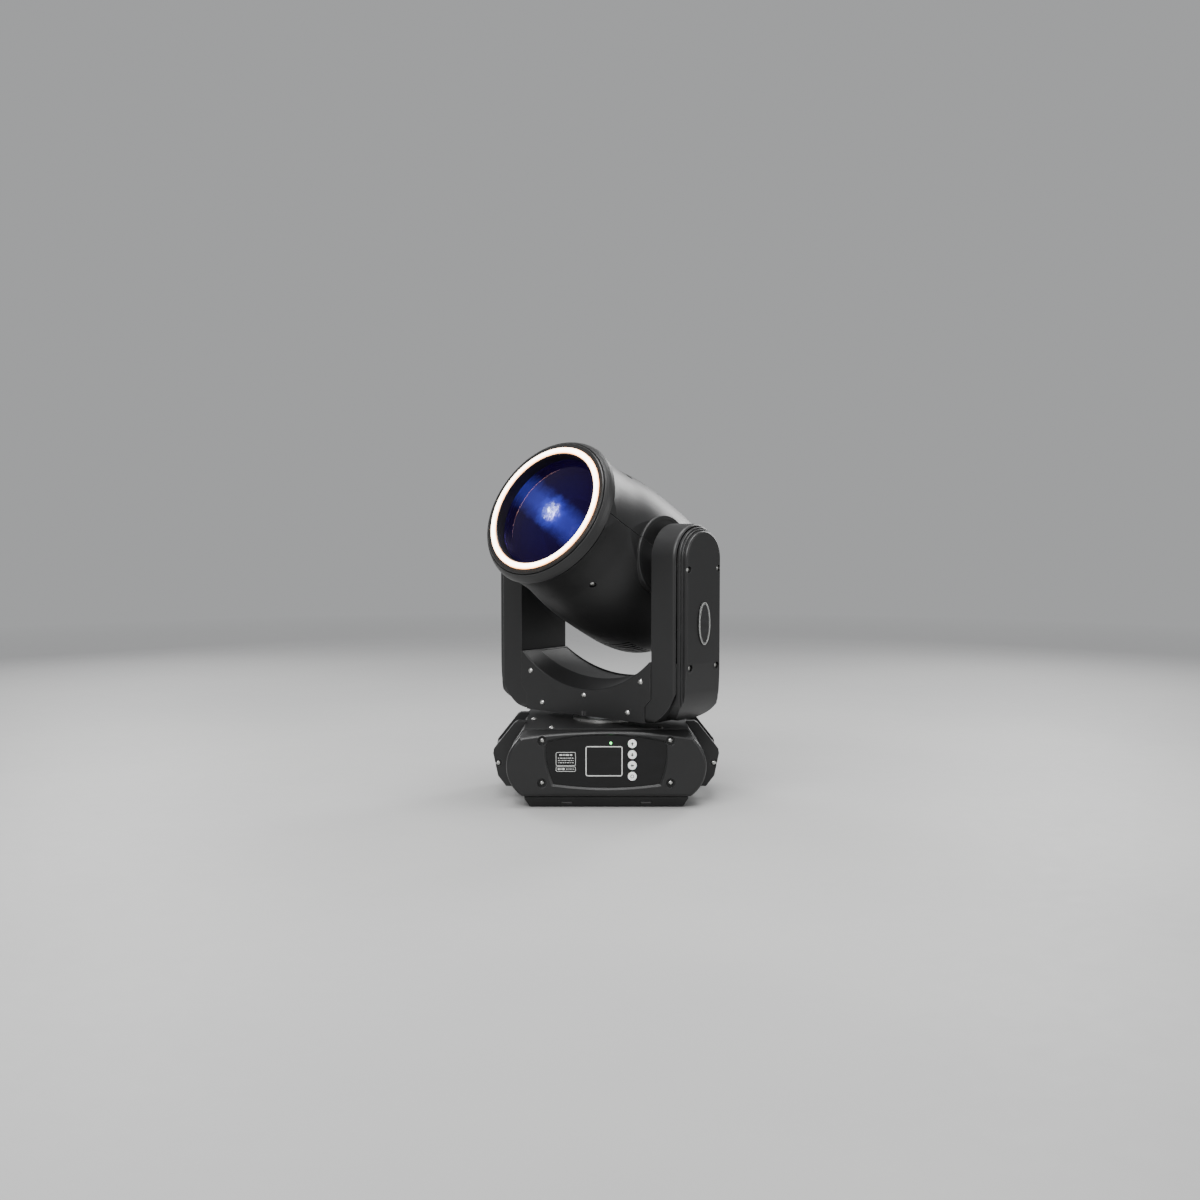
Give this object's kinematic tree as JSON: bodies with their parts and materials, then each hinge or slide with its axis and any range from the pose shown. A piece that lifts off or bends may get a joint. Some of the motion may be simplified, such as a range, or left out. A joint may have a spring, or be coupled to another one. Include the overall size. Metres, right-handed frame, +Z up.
{
  "type": "moving head light",
  "caption": "Black moving head beam light with lit ring round its front lens, U-shaped pan yoke with solid arms, and low base with display, keys and side grips.",
  "frame": {"origin": "on the pan axis at the level of the underside of the rubber feet, under the centre of the bracket socket pattern", "axes": "+Z up along the pan axis, -Y towards the display side of the base, +X to the right seen from the display side"},
  "size_m": [0.3158, 0.324, 0.4867],
  "materials": {
    "moulded_black": "fine texture",
    "fascia_black": "satin",
    "panel_black": "fine texture",
    "handle_black": "satin",
    "plinth_black": "powder coat",
    "rear_panel_black": "powder coat",
    "frame_black": "powder coat",
    "bezel_black": "satin",
    "window_black": "polished",
    "display_dark": "polished",
    "badge_black": "satin",
    "key_white": "satin",
    "led_green": "lit",
    "board_green": "solder mask",
    "rubber_black": "matte",
    "zinc_steel": "zinc plated",
    "machined_aluminium": "machined",
    "fin_aluminium": "extruded",
    "motor_dark": "satin",
    "socket_black": "satin",
    "halo_white": "milky, lit",
    "lens_glass": "polished",
    "focus_glass": "polished",
    "wheel_metal": "satin",
    "fan_black": "moulded",
    "print_white": "screen print",
    "print_grey": "screen print",
    "contact_brass": "bare"
  },
  "bodies": {
    "base": {"base_bottom_plate": "plinth_black", "base_top_cover": "moulded_black", "base_side_cover_right": "moulded_black", "base_side_cover_left": "moulded_black", "carry_handles": "handle_black", "front_fascia": "fascia_black", "rear_panel": "rear_panel_black", "display_window": "window_black", "display_module": "display_dark", "control_board": "board_green", "status_led": "led_green", "rubber_feet": "rubber_black", "bracket_sockets": "motor_dark", "base_screws": "zinc_steel", "power_sockets": "socket_black", "data_sockets": "socket_black", "fuse_holder": "socket_black", "power_supply": "fin_aluminium", "pan_motor": "motor_dark", "pan_belt": "rubber_black", "pan_bearing": "zinc_steel"},
    "yoke": {"pan_shaft": "machined_aluminium", "yoke_frame": "frame_black", "yoke_front_cover": "moulded_black", "yoke_rear_cover": "moulded_black", "arm_shell_right": "moulded_black", "arm_shell_left": "moulded_black", "arm_side_panel_right": "panel_black", "arm_side_panel_left": "panel_black", "arm_badges": "badge_black", "yoke_screws": "zinc_steel", "tilt_motor": "motor_dark", "tilt_belt": "rubber_black", "tilt_bearings": "zinc_steel"},
    "head": {"head_upper_shell": "moulded_black", "head_lower_shell": "moulded_black", "front_collar": "moulded_black", "front_bezel": "bezel_black", "halo_ring": "halo_white", "halo_led_board": "board_green", "front_lens": "lens_glass", "optics_frame": "frame_black", "tilt_shafts": "machined_aluminium", "led_engine": "motor_dark", "heatsink": "fin_aluminium", "fan_frame": "fan_black", "effect_motors": "motor_dark", "head_screws": "zinc_steel"},
    "button_up": {"button_up": "key_white"},
    "button_down": {"button_down": "key_white"},
    "button_back": {"button_back": "key_white"},
    "button_enter": {"button_enter": "key_white"},
    "power_rocker": {"power_rocker": "socket_black"},
    "pan_motor_pulley": {"pan_motor_pulley": "machined_aluminium"},
    "tilt_motor_pulley": {"tilt_motor_pulley": "machined_aluminium"},
    "focus_carriage": {"focus_carriage": "machined_aluminium", "focus_lens": "focus_glass"},
    "gobo_wheel": {"gobo_wheel": "wheel_metal"},
    "colour_wheel": {"colour_wheel": "wheel_metal"},
    "fan_rotor": {"fan_rotor": "fan_black"}
  },
  "joints": [
    {"name": "pan", "type": "hinge", "parent": "base", "child": "yoke", "pos_m": [0, 0, 0.1], "axis": [0, 0, 1], "range_deg": [-228.9, 311.1]},
    {"name": "tilt", "type": "hinge", "parent": "yoke", "child": "head", "pos_m": [0, 0, 0.335], "axis": [0.7536, -0.6574, 0], "range_deg": [-197.85, 72.15]},
    {"name": "button_up_press", "type": "slide", "parent": "base", "child": "button_up", "axis": [0, 1, 0], "range_m": [0, 0.0008], "stiffness_N_per_m": 600, "springref_m": -0.001},
    {"name": "button_down_press", "type": "slide", "parent": "base", "child": "button_down", "axis": [0, 1, 0], "range_m": [0, 0.0008], "stiffness_N_per_m": 600, "springref_m": -0.001},
    {"name": "button_back_press", "type": "slide", "parent": "base", "child": "button_back", "axis": [0, 1, 0], "range_m": [0, 0.0008], "stiffness_N_per_m": 600, "springref_m": -0.001},
    {"name": "button_enter_press", "type": "slide", "parent": "base", "child": "button_enter", "axis": [0, 1, 0], "range_m": [0, 0.0008], "stiffness_N_per_m": 600, "springref_m": -0.001},
    {"name": "mains_rocker", "type": "hinge", "parent": "base", "child": "power_rocker", "pos_m": [0.068, 0.0975, 0.038], "axis": [1, 0, 0], "range_deg": [0, 20]},
    {"name": "pan_drive", "type": "hinge", "parent": "base", "child": "pan_motor_pulley", "pos_m": [0.066, 0.026, 0.085], "axis": [0, 0, 1], "range_deg": [-919.6, 1248.4]},
    {"name": "tilt_drive", "type": "hinge", "parent": "yoke", "child": "tilt_motor_pulley", "pos_m": [0.11887, -0.1037, 0.215], "axis": [0.7536, -0.6574, 0], "range_deg": [-596.55, 219.45]},
    {"name": "focus", "type": "slide", "parent": "head", "child": "focus_carriage", "axis": [-0.5849, -0.6705, 0.4563], "range_m": [-0.014, 0.024]},
    {"name": "gobo_spin", "type": "hinge", "parent": "head", "child": "gobo_wheel", "pos_m": [0.02019, 0.02314, 0.3642], "axis": [-0.5849, -0.6705, 0.4563], "continuous": true},
    {"name": "colour_spin", "type": "hinge", "parent": "head", "child": "colour_wheel", "pos_m": [0.00204, 0.00234, 0.28846], "axis": [-0.5849, -0.6705, 0.4563], "continuous": true},
    {"name": "fan_spin", "type": "hinge", "parent": "head", "child": "fan_rotor", "pos_m": [0.08072, 0.09253, 0.27203], "axis": [-0.5849, -0.6705, 0.4563], "continuous": true}
  ],
  "couplings": [
    {"joint": "pan_drive", "follows": "pan", "ratio": 4},
    {"joint": "tilt_drive", "follows": "tilt", "ratio": 3}
  ]
}
